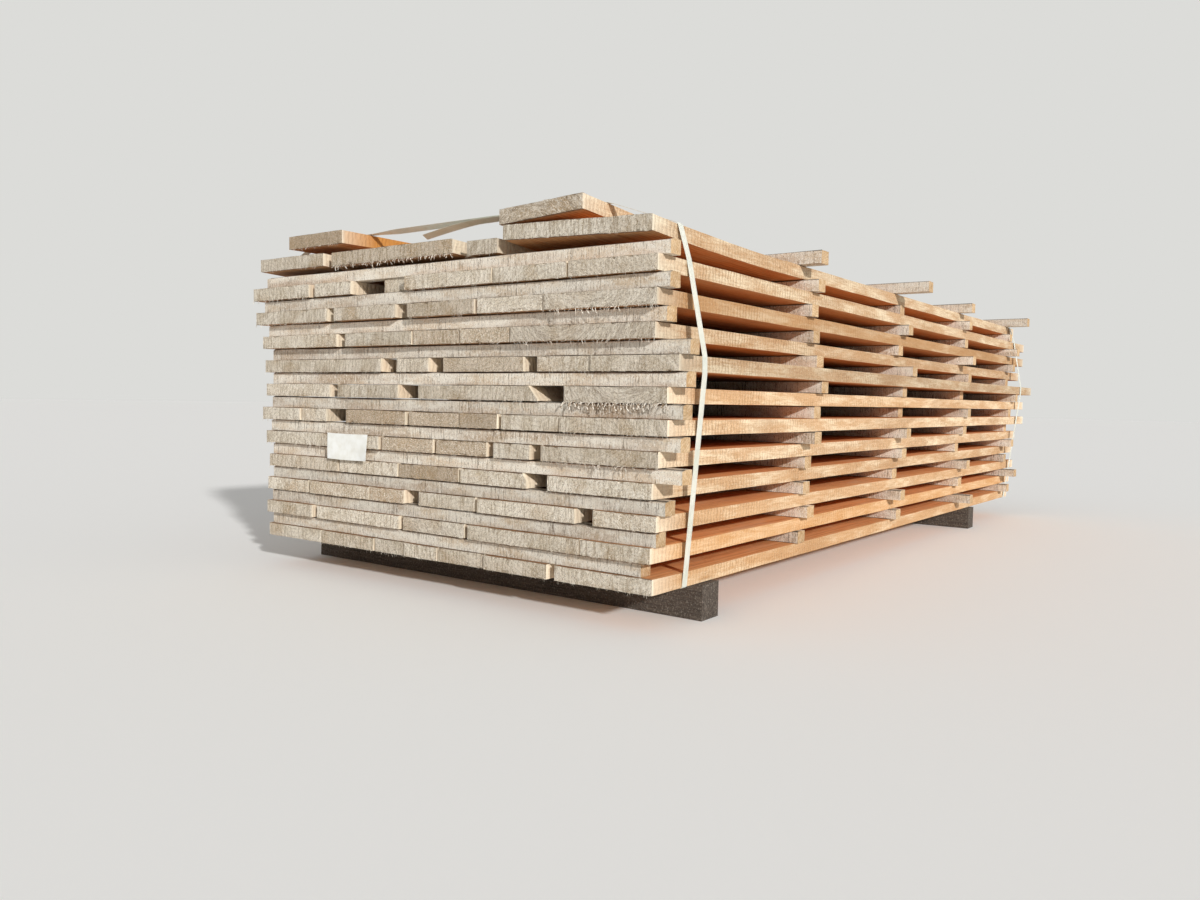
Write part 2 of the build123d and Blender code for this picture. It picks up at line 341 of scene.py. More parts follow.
def weathered_end_grain(timber):
    """Hardwood end grain, cross-cut with a coarse saw and greyed by rain and sun: pale grey-beige with dark
    pores and pale torn fibres, some boards browner and some with the growth rings as slanting streaks.
    The pores are drawn about three times too coarse, so that they show."""
    material, tree = new_material("weathered hardwood end grain")
    place, tone, brown, streaks = timber_coordinates(tree, "end_finish")
    rings = waves(place, "RINGS", "Y", 9, 4.0, 0.8)
    slashes = blotches(round_the_pith(place, 0.25), 2.4, 3.0, 0.8)
    bands = blotches(round_the_pith(place, 0.1), 8, 2.0, 0.6)
    upright = blotches(place, 4.2, 3.0, 0.8, (1, 1, 0.12))
    fuzz = blotches(place, 2.6, 4.0, 0.9)
    pores = blotches(place, 2.4, 3.0, 0.9)
    slash_share = add_node(tree, "MapRange", {"Value": streaks, "To Min": 0.18, "To Max": 0.75})
    band_share = add_node(tree, "MapRange", {"Value": streaks, "To Max": 0.5})
    less = {"Value": streaks, "From Max": 0.6, "To Min": 0.7, "To Max": 0.2}
    upright_share = add_node(tree, "MapRange", less)
    fuzz_share = add_node(tree, "MapRange", {"Value": tone, "To Min": 0.45, "To Max": 0.9})
    coats = (
        ("d3c4aa", blotches(place, 50), 0.42, 0.70, 1.0),
        ("b99a76", brown, 0.0, 1.0, 0.8),
        ("c8a67c", blotches(place, 100, 2.0), 0.54, 0.74, 0.6),
        ("97856e", rings, 0.55, 1.0, 0.22),
        ("8f7b64", slashes, 0.50, 0.62, slash_share),
        ("f7efe1", slashes, 0.46, 0.36, slash_share),
        ("94806b", bands, 0.50, 0.66, band_share),
        ("9f8868", upright, 0.50, 0.58, upright_share),
        ("fff8ea", fuzz, 0.52, 0.59, fuzz_share),
        ("7d674c", pores, 0.56, 0.62, 0.75),
    )
    colour = tuple(timber.end_colour)
    heights = [(pores, -1.6), (fuzz, 1.8), (upright, -1.4), (slashes, -1)]
    return finish_timber(material, colour, coats, tone, (0.92, 1.12), 0.92, heights)


def sawn_edge(timber):
    """Narrow edge of a board, straight off the band saw and kept from the rain: warm tan with fine grain
    along the board, paler dry patches and the saw's upright lines across it."""
    material, tree = new_material("band-sawn hardwood edge")
    place, tone, warmth, weathering_and_shade = timber_coordinates(tree, "side_finish")
    grain = blotches(place, 3, 5.0, 0.7, (1, 0.06, 1))
    lines = waves(place, "BANDS", "Y", 11, 6.0, 2.0)
    specks = blotches(place, 2.8, 4.0, 0.85)
    comes = blotches(place, 40, 3.0, stretch=(1, 0.25, 1))
    come_and_go = {"Value": comes, "From Min": 0.42, "From Max": 0.62, "To Min": 0.1, "To Max": 0.6}
    line_share = add_node(tree, "MapRange", come_and_go)
    coats = (
        ("ead6b5", blotches(place, 30, stretch=(1, 0.2, 1)), 0.44, 0.62, 0.9),
        ("b2906d", blotches(place, 50, 3.0, stretch=(1, 0.12, 1)), 0.52, 0.70, 0.8),
        ("ac8156", grain, 0.46, 0.64, 0.55),
        ("8f6a46", lines, 0.4, 0.0, line_share),
        ("7c5f42", specks, 0.56, 0.68, 0.7),
        ("fdf1d8", specks, 0.43, 0.32, 0.85),
        ("c8883f", warmth, 0.2, 1.0, 0.9),
        ("ece0c9", weathering_and_shade, 0.0, 0.8, 0.9),
    )
    colour = tuple(timber.edge_colour)
    heights = [(lines, 0.8), (grain, 0.5), (specks, 1.1)]
    return finish_timber(material, colour, coats, tone, (0.80, 1.16), 0.85, heights)


def sawn_face(timber):
    """Wide face of a board: orange-brown hardwood with the grain in long arches and saw lines across it. Near
    the board's ends it is greyed by weather, drawn darker than weathering alone as painted shade, and close
    to the ends near-black as painted shade.
    """
    material, tree = new_material("band-sawn hardwood face")
    place, tone, warmth, weathering_and_shade = timber_coordinates(tree, "side_finish")
    arches = waves(place, "RINGS", "Y", 8, 5.0, stretch=(1, 0.05, 1))
    grain = blotches(place, 3.4, 5.0, 0.7, (1, 0.025, 1))
    comes = blotches(place, 60, 3.0, stretch=(1, 0.3, 1))
    come_and_go = {"Value": comes, "From Min": 0.45, "From Max": 0.65, "To Max": 0.4}
    strength = add_node(tree, "MapRange", come_and_go)
    lines = waves(place, "BANDS", "Y", 11, 9.0, 2.0)
    drawn = {"Value": lines, "From Min": 0.5, "From Max": 0.05, "To Max": strength}
    line_share = add_node(tree, "MapRange", drawn)
    coats = (
        ("b06a35", arches, 0.3, 0.9, 0.5),
        ("edc08b", grain, 0.45, 0.68, 0.6),
        ("8d5026", line_share, 0.0, 1.0, 1.0),
        ("d3b794", blotches(place, 70, stretch=(1, 0.4, 1)), 0.52, 0.74, 0.45),
        # Near the ends: grey of weathering, drawn darker as painted shade, then near-black painted shade
        # close to the ends
        ("8f7a62", weathering_and_shade, 0.15, 1.0, 0.9),
        ("4a3d30", weathering_and_shade, 0.50, 0.85, 0.8),
    )
    colour = tuple(timber.face_colour)
    return finish_timber(material, colour, coats, tone, (0.88, 1.1), 0.84, [(line_share, -0.9), (grain, 0.5)])


def lath_end_grain():
    """End grain of a sticker, cut later than the boards and still warm: tan with dark pores and pale fuzz."""
    material, tree = new_material("cut end grain of the laths")
    place, tone = timber_coordinates(tree, "end_finish")[:2]
    fuzz = blotches(place, 3.4, 5.0, 0.85)
    pores = blotches(place, 2.6, 3.0, 0.8)
    coats = (
        ("bd9464", blotches(place, 14), 0.42, 0.68, 1.0),
        ("97734e", waves(place, "RINGS", "Y", 5, 3.0), 0.5, 1.0, 0.35),
        ("efddbe", fuzz, 0.51, 0.68, 0.7),
        ("83653f", pores, 0.58, 0.72, 0.75),
    )
    colour = linear("d9ba92")
    return finish_timber(material, colour, coats, tone, (0.86, 1.08), 0.9, [(pores, -1.2), (fuzz, 1.4)])


def sawn_lath(timber):
    """Sticker: a lath ripped off a board's edge, dry and pale to brown in patches, with upright saw cuts and
    ridges that come and go. Its upper front arris is broken, and the band there under the boards is painted
    near-black as shade."""
    material, tree = new_material("sawn hardwood lath")
    place, tone = timber_coordinates(tree, "end_finish")[:2]
    groove_shade = timber_coordinates(tree, "side_finish")[3]
    comes = blotches(place, 25, 3.0, stretch=(1, 0.5, 1))
    come_and_go = {"Value": comes, "From Min": 0.4, "From Max": 0.6, "To Min": 0.15, "To Max": 0.75}
    cut_share = add_node(tree, "MapRange", come_and_go)
    cuts = blotches(place, 3.4, 3.0, 0.75, (1, 1, 0.1))
    fibres = blotches(place, 2.6, 5.0, 0.85, (1, 0.8, 0.5))
    specks = blotches(place, 2.6, 4.0, 0.85)
    coats = (
        ("dcc5a7", blotches(place, 30, stretch=(1, 0.3, 1)), 0.44, 0.64, 0.9),
        ("b69c80", blotches(place, 45, 3.0, stretch=(1, 0.2, 1)), 0.52, 0.68, 0.7),
        ("715c47", cuts, 0.52, 0.62, cut_share),
        ("f6eedf", cuts, 0.46, 0.37, cut_share),
        ("fef8ec", fibres, 0.52, 0.61, 0.85),
        ("745e46", specks, 0.55, 0.64, 0.8),
        # Painted shade: near-black in the band under the boards
        ("3f342a", groove_shade, 0.2, 0.9, 0.9),
    )
    colour = tuple(timber.sticker_colour)
    heights = [(cuts, -1), (fibres, 1.2), (specks, -1)]
    return finish_timber(material, colour, coats, tone, (0.84, 1.08), 0.88, heights)


def old_bearer_timber():
    """Bearer: a baulk used many times, almost black, with pale dusty specks."""
    material, tree = new_material("old dark bearer timber")
    place, tone = timber_coordinates(tree, "end_finish")[:2]
    fibres = blotches(place, 4, 5.0, 0.75, (1, 0.05, 1))
    specks = blotches(place, 4, 4.0, 0.85)
    coats = (("665b50", fibres, 0.35, 0.7, 1.0), ("968c80", specks, 0.52, 0.68, 0.8))
    colour = linear("3d3530")
    return finish_timber(material, colour, coats, tone, (1.0, 1.0), 0.93, [(fibres, 1.2), (specks, 1.6)])


def torn_fibre():
    """Fibre that the cross-cut tore out: dry, pale and dull."""
    material, tree = new_material("torn wood fibre")
    pack = add_node(tree, "TexCoord", output="Object")
    shade = blotches(pack, 3, 2.0)
    colour = coated(tree, linear("fbf3e4"), [("8f7354", shade, 0.46, 0.60, 1.0)])
    add_shader(tree, {"Base Color": colour, "Roughness": 0.9})
    return material


# Timber meshes


def cad_solids(node):
    """The solids of a node, from the lowest up and then from the left, each as a mesh of flat faces with its
    triangles merged."""
    whole = bmesh.new()
    whole.from_mesh(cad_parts[node].data)
    bmesh.ops.remove_doubles(whole, verts=whole.verts, dist=WELD)
    left = set(whole.faces)
    made = []
    while left:
        reached = {left.pop()}
        to_search = list(reached)
        while to_search:
            beside = {other for edge in to_search.pop().edges for other in edge.link_faces} & left
            left -= beside
            reached |= beside
            to_search += beside
        solid = bmesh.new()
        copies = {}
        for face in sorted(reached, key=lambda face: face.index):
            for vert in face.verts:
                if vert not in copies:
                    copies[vert] = solid.verts.new(vert.co)
            solid.faces.new([copies[vert] for vert in face.verts])
        bmesh.ops.dissolve_limit(solid, angle_limit=FLAT_ANGLE, verts=solid.verts, edges=solid.edges)
        made.append(solid)
    whole.free()
    lowest = [[min(vert.co[axis] for vert in solid.verts) for axis in (2, 0)] for solid in made]
    order = sorted(range(len(made)), key=lambda place: (round(lowest[place][0], 2), lowest[place][1]))
    return [made[place] for place in order]


def slice_solid(solid, axis, places, band=None, low=-math.inf, high=math.inf):
    """Cuts lines into the surface, square to an axis. Where a band axis is given, only the faces that lie
    between low and high on that axis are cut."""
    normal = Vector((axis == 0, axis == 1, axis == 2))
    for place in places:
        faces = [
            face
            for face in solid.faces
            if band is None
            or (min(v.co[band] for v in face.verts) < high and max(v.co[band] for v in face.verts) > low)
        ]
        geometry = set(faces)
        for face in faces:
            geometry.update(face.verts)
            geometry.update(face.edges)
        plane = {"plane_co": normal * place, "plane_no": normal, "dist": WELD}
        bmesh.ops.bisect_plane(solid, geom=list(geometry), **plane)


def spaced(low, high, spacing):
    """Places between two ends, evenly spaced by about a spacing."""
    count = max(1, round((high - low) / spacing))
    return [low + (high - low) * step / count for step in range(1, count)]


def noise_at(points, size, seed, octaves=3):
    """Fractal noise, about -1 to 1, at each point. Its largest waves have about a size, in millimetres."""
    shift = Vector((seed * 3.17, seed * 1.31, seed * 7.77))
    places = [Vector(point) / (size * MM) + shift for point in points]
    return np.array([noise.fractal(place, 0.8, 2.0, octaves) for place in places])


# Distances from an end between which the surface is cut finely
END_BANDS = (1.5 * MM, 4 * MM, 10 * MM)
# Share of a band that is sure to lie inside it
INSIDE = 0.99
# Spacing of the cuts between the ends
LONG_SPACING = 80 * MM
# How far from an end the weather still greys the sides, and the wide faces are also painted darker as shade
GREYING_AND_SHADE_REACH = 12 * MM


def mesh_of_length(solid, along, fine_end, coarse_end, levels):
    """Cuts a length of timber finely at its ends, where the saw's marks show, and coarsely between."""
    across = 1 - along
    corners = np.array([vert.co for vert in solid.verts])
    low, high = corners.min(0), corners.max(0)
    first, last = low[along], high[along]
    for band in END_BANDS:
        slice_solid(solid, along, [first + band, last - band])
    slice_solid(solid, along, spaced(first + END_BANDS[-1], last - END_BANDS[-1], LONG_SPACING))
    reach, skin = END_BANDS[-1] * INSIDE, END_BANDS[0] * INSIDE
    slice_solid(solid, across, spaced(low[across], high[across], fine_end), along, high=first + reach)
    slice_solid(solid, across, spaced(low[across], high[across], coarse_end), along, low=last - reach)
    at_first = corners[np.abs(corners[:, along] - first) < TOUCH][:, 2]
    slice_solid(solid, 2, spaced(at_first.min(), at_first.max(), levels), along, high=first + skin)
    at_last = corners[np.abs(corners[:, along] - last) < TOUCH][:, 2]
    slice_solid(solid, 2, spaced(at_last.min(), at_last.max(), levels * 2), along, low=last - skin)
    return low, high


# How far at most a cross-cut runs out of square, and a lower arris hangs down in rags
SKEW = 2.5 * MM
RAGS = 2 * MM
# How far a wide side lies below a flat one, and how far the long edges and arrises lie in, on the average
DIP = 0.5 * MM
SET_IN = 0.5 * MM


def roughened(solid, low, high, along, timber, seed):
    """Moves a length of timber's points: rough ends, worn and chipped arrises, a ragged lower arris at the
    front and long edges that wander. Gives the points in the pack, those in a frame whose Y runs along the
    grain, and which points stand on the lower front arris."""
    turn = [1, 0, 2] if along == 0 else [0, 1, 2]
    points = np.array([vert.co for vert in solid.verts])[:, turn]
    low, high = np.array(low)[turn], np.array(high)[turn]

    # Where each point lies, and which way is into the timber
    bottom = np.array([min(face.normal.z for face in vert.link_faces) < -SQUARE_FACE for vert in solid.verts])
    top = np.array([max(face.normal.z for face in vert.link_faces) > SQUARE_FACE for vert in solid.verts])
    from_end = np.minimum(points[:, 1] - low[1], high[1] - points[:, 1])
    end = from_end < END_BANDS[0] / 2
    edge = np.minimum(points[:, 0] - low[0], high[0] - points[:, 0]) < TOUCH
    arris = end & (edge | bottom | top)
    long_arris = edge & (bottom | top) & ~end
    front = points[:, 1] < (low[1] + high[1]) / 2
    inward = np.where(front, 1.0, -1.0)
    sideways = np.where(points[:, 0] < (low[0] + high[0]) / 2, 1.0, -1.0)
    upward = bottom * 1.0 - top * 1.0

    # Chance patterns, each with a seed of its own
    flat = points * (1, 0, 1)
    rough, fine = noise_at(points, 10, seed), noise_at(points, 3.5, seed + 11)
    chips = np.clip(noise_at(flat, 13, seed + 23) - 0.25, 0, 1)
    slow = np.clip(noise_at(points * (1, 0.2, 0.2), 70, seed + 5), -0.6, 1)
    ragged = np.clip(noise_at(flat, 4, seed + 31, 2) + 0.1, 0, 1)
    skewed = np.abs(noise.noise(Vector((seed, 2, 3))) * (points[:, 0] - low[0]) / (high[0] - low[0]))
    dipped = np.clip(noise_at(points * (1, 0.15, 0), 90, seed + 51), -0.5, 1)
    nibbled = np.clip(noise_at(points, 25, seed + 41), -0.8, 1)

    moved = points.copy()
    worn = timber.arris_wear * (0.5 + 3.5 * chips)
    moved[:, 1] += end * inward * timber.end_relief * (0.7 + 0.45 * rough + 0.45 * fine)
    moved[:, 1] += (from_end < END_BANDS[-1]) * inward * skewed * SKEW
    moved[:, 1] += arris * inward * worn
    moved[:, 2] += arris * upward * 0.5 * worn
    moved[:, 0] += end * edge * sideways * worn * 0.6
    moved[:, 2] -= end * bottom * ragged * RAGS
    moved[:, 0] += edge * sideways * (SET_IN + timber.wander * 0.8 * slow)
    moved[:, 2] -= top * (DIP + 0.8 * MM * dipped)
    moved[:, 2] += long_arris * upward * (SET_IN + 0.6 * MM * nibbled)
    return np.clip(moved[:, turn], *np.array(CAD_BOX)), points, end & front & bottom


def joined_mesh(name, parts, materials):
    """One mesh from several dressed lengths of timber, with their finishes and log place as attributes."""
    mesh = bpy.data.meshes.new(name)
    faces = []
    start = 0
    for part in parts:
        faces += [[start + corner for corner in face] for face in part["faces"]]
        start += len(part["points"])
    mesh.from_pydata(np.concatenate([part["points"] for part in parts]).tolist(), [], faces)
    for material in materials:
        mesh.materials.append(material)
    kinds = np.concatenate([part["kinds"] for part in parts]).astype(np.int32)
    mesh.polygons.foreach_set("material_index", kinds)
    for title in ("end_finish", "side_finish", "log_place"):
        values = np.concatenate([part[title] for part in parts]).astype(np.float32)
        mesh.attributes.new(title, "FLOAT_VECTOR", "POINT").data.foreach_set("vector", values.ravel())
    mesh.update()
    return mesh


# Which of a timber piece's materials is on the ends, on the narrow sides, on the wide sides and on the fibres
END, EDGE, FACE, FIBRE = range(4)


def dress_timber(solid, along, meshing, finish, timber, seed, pith):
    """Roughens one length of timber. Gives its points, faces, the kind of each face and the attributes of
    its points, and the points of its lower front arris in order."""
    low, high = mesh_of_length(solid, along, *meshing)
    solid.verts.index_update()
    solid.normal_update()
    faces = [[vert.index for vert in face.verts] for face in solid.faces]
    flatness = np.abs(np.array([face.normal.z for face in solid.faces]))
    middles = np.array([face.calc_center_median()[along] for face in solid.faces])
    end_grain = np.minimum(middles - low[along], high[along] - middles) < END_BANDS[0]
    moved, local, lower_front = roughened(solid, low, high, along, timber, seed)
    arris = moved[lower_front]
    arris = arris[np.argsort(arris[:, 1 - along])]
    end_finish, (tone, warmth, weathering_and_shade) = finish
    from_end = np.minimum(local[:, 1] - low[along], high[along] - local[:, 1])
    # Greying by weather near the ends; on the wide faces this value also paints shade
    greying_and_shade = np.maximum(weathering_and_shade, np.exp(-from_end / GREYING_AND_SHADE_REACH))
    count = len(moved)
    part = {
        "points": moved,
        "faces": faces,
        "kinds": np.where(end_grain, END, np.where(flatness > SQUARE_FACE, FACE, EDGE)),
        "end_finish": np.tile(end_finish, (count, 1)),
        "side_finish": np.column_stack((np.full(count, tone), np.full(count, warmth), greying_and_shade)),
        "log_place": local - np.array(pith),
    }
    return part, arris


def pith_of(solid, along, chance):
    """A place for the pith of the log that a length was cut from, in the frame along its grain."""
    corners = np.array([vert.co for vert in solid.verts])
    middle = (corners.min(0) + corners.max(0)) / 2
    if along == 0:
        middle = middle[[1, 0, 2]]
    sideways, lengthwise = chance.uniform(-120, 120) * MM, chance.uniform(-3, 3)
    return middle + (sideways, lengthwise, chance.choice((-1, 1)) * chance.uniform(20, 150) * MM)


class LUMBER_OT_lay_boards(bpy.types.Operator):
    """Lays the boards of every course and the loose boards on top, with torn fibres under their ends"""

    bl_idname = "lumber.lay_boards"
    bl_label = "Lay boards"

    def execute(self, context):
        timber = context.scene.lumber_timber
        materials = [weathered_end_grain(timber), sawn_edge(timber), sawn_face(timber), torn_fibre()]
        fibres = fibre_tree(timber, materials[FIBRE])
        chance = random.Random(timber.seed)
        meshing = (timber.end_mesh, 3 * timber.end_mesh, 4.5 * MM)
        for number, node in enumerate(COURSES + list(LOOSE_FINISHES)):
            name = node.replace("board_", "boards_") if node in COURSES else node.replace("board", "plank")
            parts, arrises = [], []
            solids = cad_solids(node)
            for place, solid in enumerate(solids):
                board = (number, place)
                tone = chance.random()
                brown = BROWN_BOARDS.get(board, chance.uniform(0.0, 0.25))
                streaks = STREAKED_BOARDS.get(board, chance.uniform(0.0, 0.25))
                side = SIDE_FINISHES.get(board, (chance.uniform(0.2, 0.9), chance.uniform(0.0, 0.6)))
                weathering_and_shade = GAP_WEATHERING if place < len(solids) - 1 else 0.0
                finish = LOOSE_FINISHES.get(node, ((tone, brown, streaks), (*side, weathering_and_shade)))
                torn = TORN_BOARDS.get(board, chance.uniform(0.05, 0.45))
                seed, pith = chance.uniform(0, 90), pith_of(solid, 1, chance)
                part, arris = dress_timber(solid, 1, meshing, finish, timber, seed, pith)
                parts.append(part)
                arrises.append((arris, torn))
                solid.free()
            piece = new_object(name, joined_mesh(name, parts, materials))
            add_fibres(piece, arrises, fibres)
            finish_piece(piece, node)
        return {"FINISHED"}


def fibre_tree(timber, material):
    """Geometry Nodes tree that sets drooping torn fibres along an arris."""
    tree = bpy.data.node_groups.new("torn fibres", "GeometryNodeTree")
    for name, kind, default in (
        ("Arris", "NodeSocketGeometry", None),
        ("Longest fibre", "NodeSocketFloat", timber.fibre_length),
        ("Fibre spacing", "NodeSocketFloat", timber.fibre_spacing),
        ("Fibre radius", "NodeSocketFloat", 0.65 * MM),
        ("Seed", "NodeSocketInt", timber.seed),
    ):
        socket = tree.interface.new_socket(name, in_out="INPUT", socket_type=kind)
        if default is not None:
            socket.default_value = default
    tree.interface.new_socket("Fibres", in_out="OUTPUT", socket_type="NodeSocketGeometry")
    given = add_node(tree, "NodeGroupInput").node.outputs
    length, seed = given["Longest fibre"], given["Seed"]

    # One fibre, 1 long, which droops and tapers
    bend = {"Resolution": 3, "Start": (0, 0.15, 0.1), "Middle": (0, -0.35, -0.25), "End": (0.1, -0.3, -1)}
    drooping = add_node(tree, "GeometryNodeCurveQuadraticBezier", bend)
    share = add_node(tree, "GeometryNodeSplineParameter")
    taper = add_node(tree, "MapRange", {"Value": share, "To Min": 1.0, "To Max": 0.25})
    tapered = add_node(tree, "GeometryNodeSetCurveRadius", {"Curve": drooping, "Radius": taper})
    thickness = add_node(tree, "Math", {".operation": "DIVIDE", 0: given["Fibre radius"], 1: length})
    profile = add_node(tree, "GeometryNodeCurvePrimitiveCircle", {"Resolution": 3, "Radius": thickness})
    tube = {"Fill Caps": True, "Curve": tapered, "Profile Curve": profile}
    fibre = add_node(tree, "GeometryNodeCurveToMesh", tube)

    # Where the fibres grow: some of the points spaced along the arris, more of them where it is badly torn
    line = add_node(tree, "GeometryNodeMeshToCurve", {"Mesh": given["Arris"]})
    spacing = {".mode": "LENGTH", "Curve": line, "Length": given["Fibre spacing"]}
    points = add_node(tree, "GeometryNodeResampleCurve", spacing)
    torn = add_node(tree, "GeometryNodeInputNamedAttribute", {"Name": "torn"})
    next_seed = add_node(tree, "Math", {".operation": "ADD", 0: seed, 1: 1})
    draw = add_node(tree, "FunctionNodeRandomValue", {"Seed": next_seed}, 1)
    picked = add_node(tree, "Math", {".operation": "LESS_THAN", 0: draw, 1: torn})

    # How each fibre is turned, how long it is and how thick, longer where the arris is badly torn
    turns = {".data_type": "FLOAT_VECTOR", "Min": (-0.5, -0.7, -1.4), "Max": (0.9, 0.7, 1.4), "Seed": seed}
    turn = add_node(tree, "FunctionNodeRandomValue", turns)
    size = add_node(tree, "FunctionNodeRandomValue", {2: 0.2, 3: 1.0, "Seed": seed}, 1)
    longest = add_node(tree, "MapRange", {"Value": torn, "To Min": 0.2, "To Max": 1.0})
    kept = add_node(tree, "Math", {".operation": "MULTIPLY", 0: size, 1: longest})
    scale = add_node(tree, "Math", {".operation": "MULTIPLY", 0: kept, 1: length})
    girth = add_node(tree, "FunctionNodeRandomValue", {2: 0.6, 3: 2.6, "Seed": next_seed}, 1)
    across = add_node(tree, "Math", {".operation": "MULTIPLY", 0: scale, 1: girth})
    grown = add_node(tree, "CombineXYZ", {"X": across, "Y": across, "Z": scale})

    settings = {"Points": points, "Selection": picked, "Instance": fibre, "Rotation": turn, "Scale": grown}
    set_down = add_node(tree, "GeometryNodeInstanceOnPoints", settings)
    real = add_node(tree, "GeometryNodeRealizeInstances", {"Geometry": set_down})
    done = add_node(tree, "GeometryNodeSetMaterial", {"Geometry": real, "Material": material})
    add_node(tree, "NodeGroupOutput", {"Fibres": done})
    return tree


def add_fibres(piece, arrises, tree):
    """Joins torn fibres to a piece, along the lower front arrises of its boards."""
    points, edges, torn = [], [], []
    for arris, strength in arrises:
        start = len(points)
        points += arris.tolist()
        edges += [(start + step, start + step + 1) for step in range(len(arris) - 1)]
        torn += [strength] * len(arris)
    mesh = bpy.data.meshes.new("arris")
    mesh.from_pydata(points, edges, [])
    mesh.attributes.new("torn", "FLOAT", "POINT").data.foreach_set("value", np.array(torn, np.float32))
    holder = new_object("arris", mesh)
    holder.modifiers.new("nodes", "NODES").node_group = tree
    fibres = evaluated_mesh(holder)
    bpy.data.objects.remove(holder)
    bpy.data.meshes.remove(mesh)
    for face in fibres.polygons:
        face.material_index = FIBRE
    for vert in fibres.vertices:
        vert.co.y = max(vert.co.y, CAD_BOX[0][1])
    add_mesh(piece.data, fibres)


# Height of the groove that the broken upper arris of a front lath leaves under the boards
LATH_GROOVE = 3.5 * MM
# How far back the groove goes: at least, on the average and at most
GROOVE_DEPTHS = (3 * MM, 7 * MM, 11 * MM)
# Size in millimetres of the bites out of the groove's back, and how deep they are
BITE_SIZE = 14
BITE_DEPTH = 5 * MM
# How far from a lath's front the saw's marks count as on its front face
LATH_FRONT = 10 * MM
# Spacing of the mesh over the ends of a lath and of a bearer, and down a lath's sides
LATH_MESH, BEARER_MESH = 5 * MM, 6 * MM
LATH_LEVELS = 8 * MM


class LUMBER_OT_lay_stickers(bpy.types.Operator):
    """Lays the stickers between the courses"""

    bl_idname = "lumber.lay_stickers"
    bl_label = "Lay stickers"

    def execute(self, context):
        timber = context.scene.lumber_timber
        lath = sawn_lath(timber)
        materials = [lath_end_grain(), lath, lath]
        chance = random.Random(timber.seed + 1)
        for node in STICKERS:
            parts = []
            for number, solid in enumerate(cad_solids(node)):
                low, high = (pick(v.co.z for v in solid.verts) for pick in (min, max))
                slice_solid(solid, 2, spaced(low, high, LATH_LEVELS) + [high - LATH_GROOVE])
                finish = [(chance.random(), chance.uniform(0.2, 0.8), chance.uniform(0.0, 0.3))] * 2
                seed, pith = chance.uniform(0, 90), pith_of(solid, 0, chance)
                part, arris = dress_timber(solid, 0, [LATH_MESH] * 3, finish, timber, seed, pith)
                points = part["points"]
                front = points[:, 1] < points[:, 1].min() + LATH_FRONT
                groove = front & (points[:, 2] > high - LATH_GROOVE * 0.6)
                # The third side value marks the band under the boards, which the lath material paints
                # near-black as shade
                part["side_finish"][:, 2] = groove
                if node == STICKERS[0]:
                    least, usual, most = GROOVE_DEPTHS
                    bites = noise_at(points * (1, 0, 0), BITE_SIZE, number)
                    depth = np.clip(usual + BITE_DEPTH * bites, least, most)
                    points[:, 1] += front * timber.lath_wane + groove * depth
                parts.append(part)
                solid.free()
            name = node.replace("sticker", "laths")
            finish_piece(new_object(name, joined_mesh(name, parts, materials)), node)
        return {"FINISHED"}


class LUMBER_OT_set_bearers(bpy.types.Operator):
    """Sets the two bearers under the pack"""

    bl_idname = "lumber.set_bearers"
    bl_label = "Set bearers"

    def execute(self, context):
        timber = context.scene.lumber_timber
        materials = [old_bearer_timber()] * 3
        chance = random.Random(timber.seed + 2)
        for node in ("bearer_front", "bearer_rear"):
            solid = cad_solids(node)[0]
            finish = [(0.5, 0.5, 0.5)] * 2
            seed, pith = chance.uniform(0, 90), pith_of(solid, 0, chance)
            part, arris = dress_timber(solid, 0, [BEARER_MESH] * 3, finish, timber, seed, pith)
            solid.free()
            name = node + "_baulk"
            finish_piece(new_object(name, joined_mesh(name, [part], materials)), node)
        return {"FINISHED"}


# Straps


STRAP_THICKNESS = 0.8 * MM
# How far the middle of a strap lies inside the outer side of its solid
STRAP_INSET = 0.55 * STRAP_THICKNESS
# Radius of a strap's bends round the timber, and spacing of the stations along its straight runs
BEND_RADIUS = 4 * MM
STATION_SPACING = 14 * MM
# A bend takes at most this share of the run on either side
BEND_SHARE = 0.4
# A bend by more than this is drawn as an arc of five points
SHARP_BEND = math.radians(8)
ARC_POINTS = 5


def strapping():
    """Polyester packing strap: pale green-white, half clear, with a fine pressed diamond net and dust."""
    material, tree = new_material("embossed polyester strap")
    flat = add_node(tree, "UVMap", {".uv_map": "ribbon"})
    pack = add_node(tree, "TexCoord", output="Object")
    ways = [waves(flat, "BANDS", "X", 2.4, 0.0, turn=math.radians(turn)) for turn in (45, -45)]
    net = add_node(tree, "Math", {".operation": "MAXIMUM", 0: ways[0], 1: ways[1]})
    coats = (("d3d8c6", blotches(pack, 40), 0.42, 0.72, 1.0), ("bccaba", net, 0.75, 1.0, 0.35))
    glossy = {"Base Color": coated(tree, linear("e9ebda"), coats), "Roughness": 0.4}
    half_clear = {"Subsurface Weight": 0.6, "Subsurface Radius": (1.0, 1.0, 1.0), "Subsurface Scale": 4 * MM}
    add_shader(tree, {**glossy, **half_clear, "Normal": bumped(tree, [(net, 0.25)])})
    return material


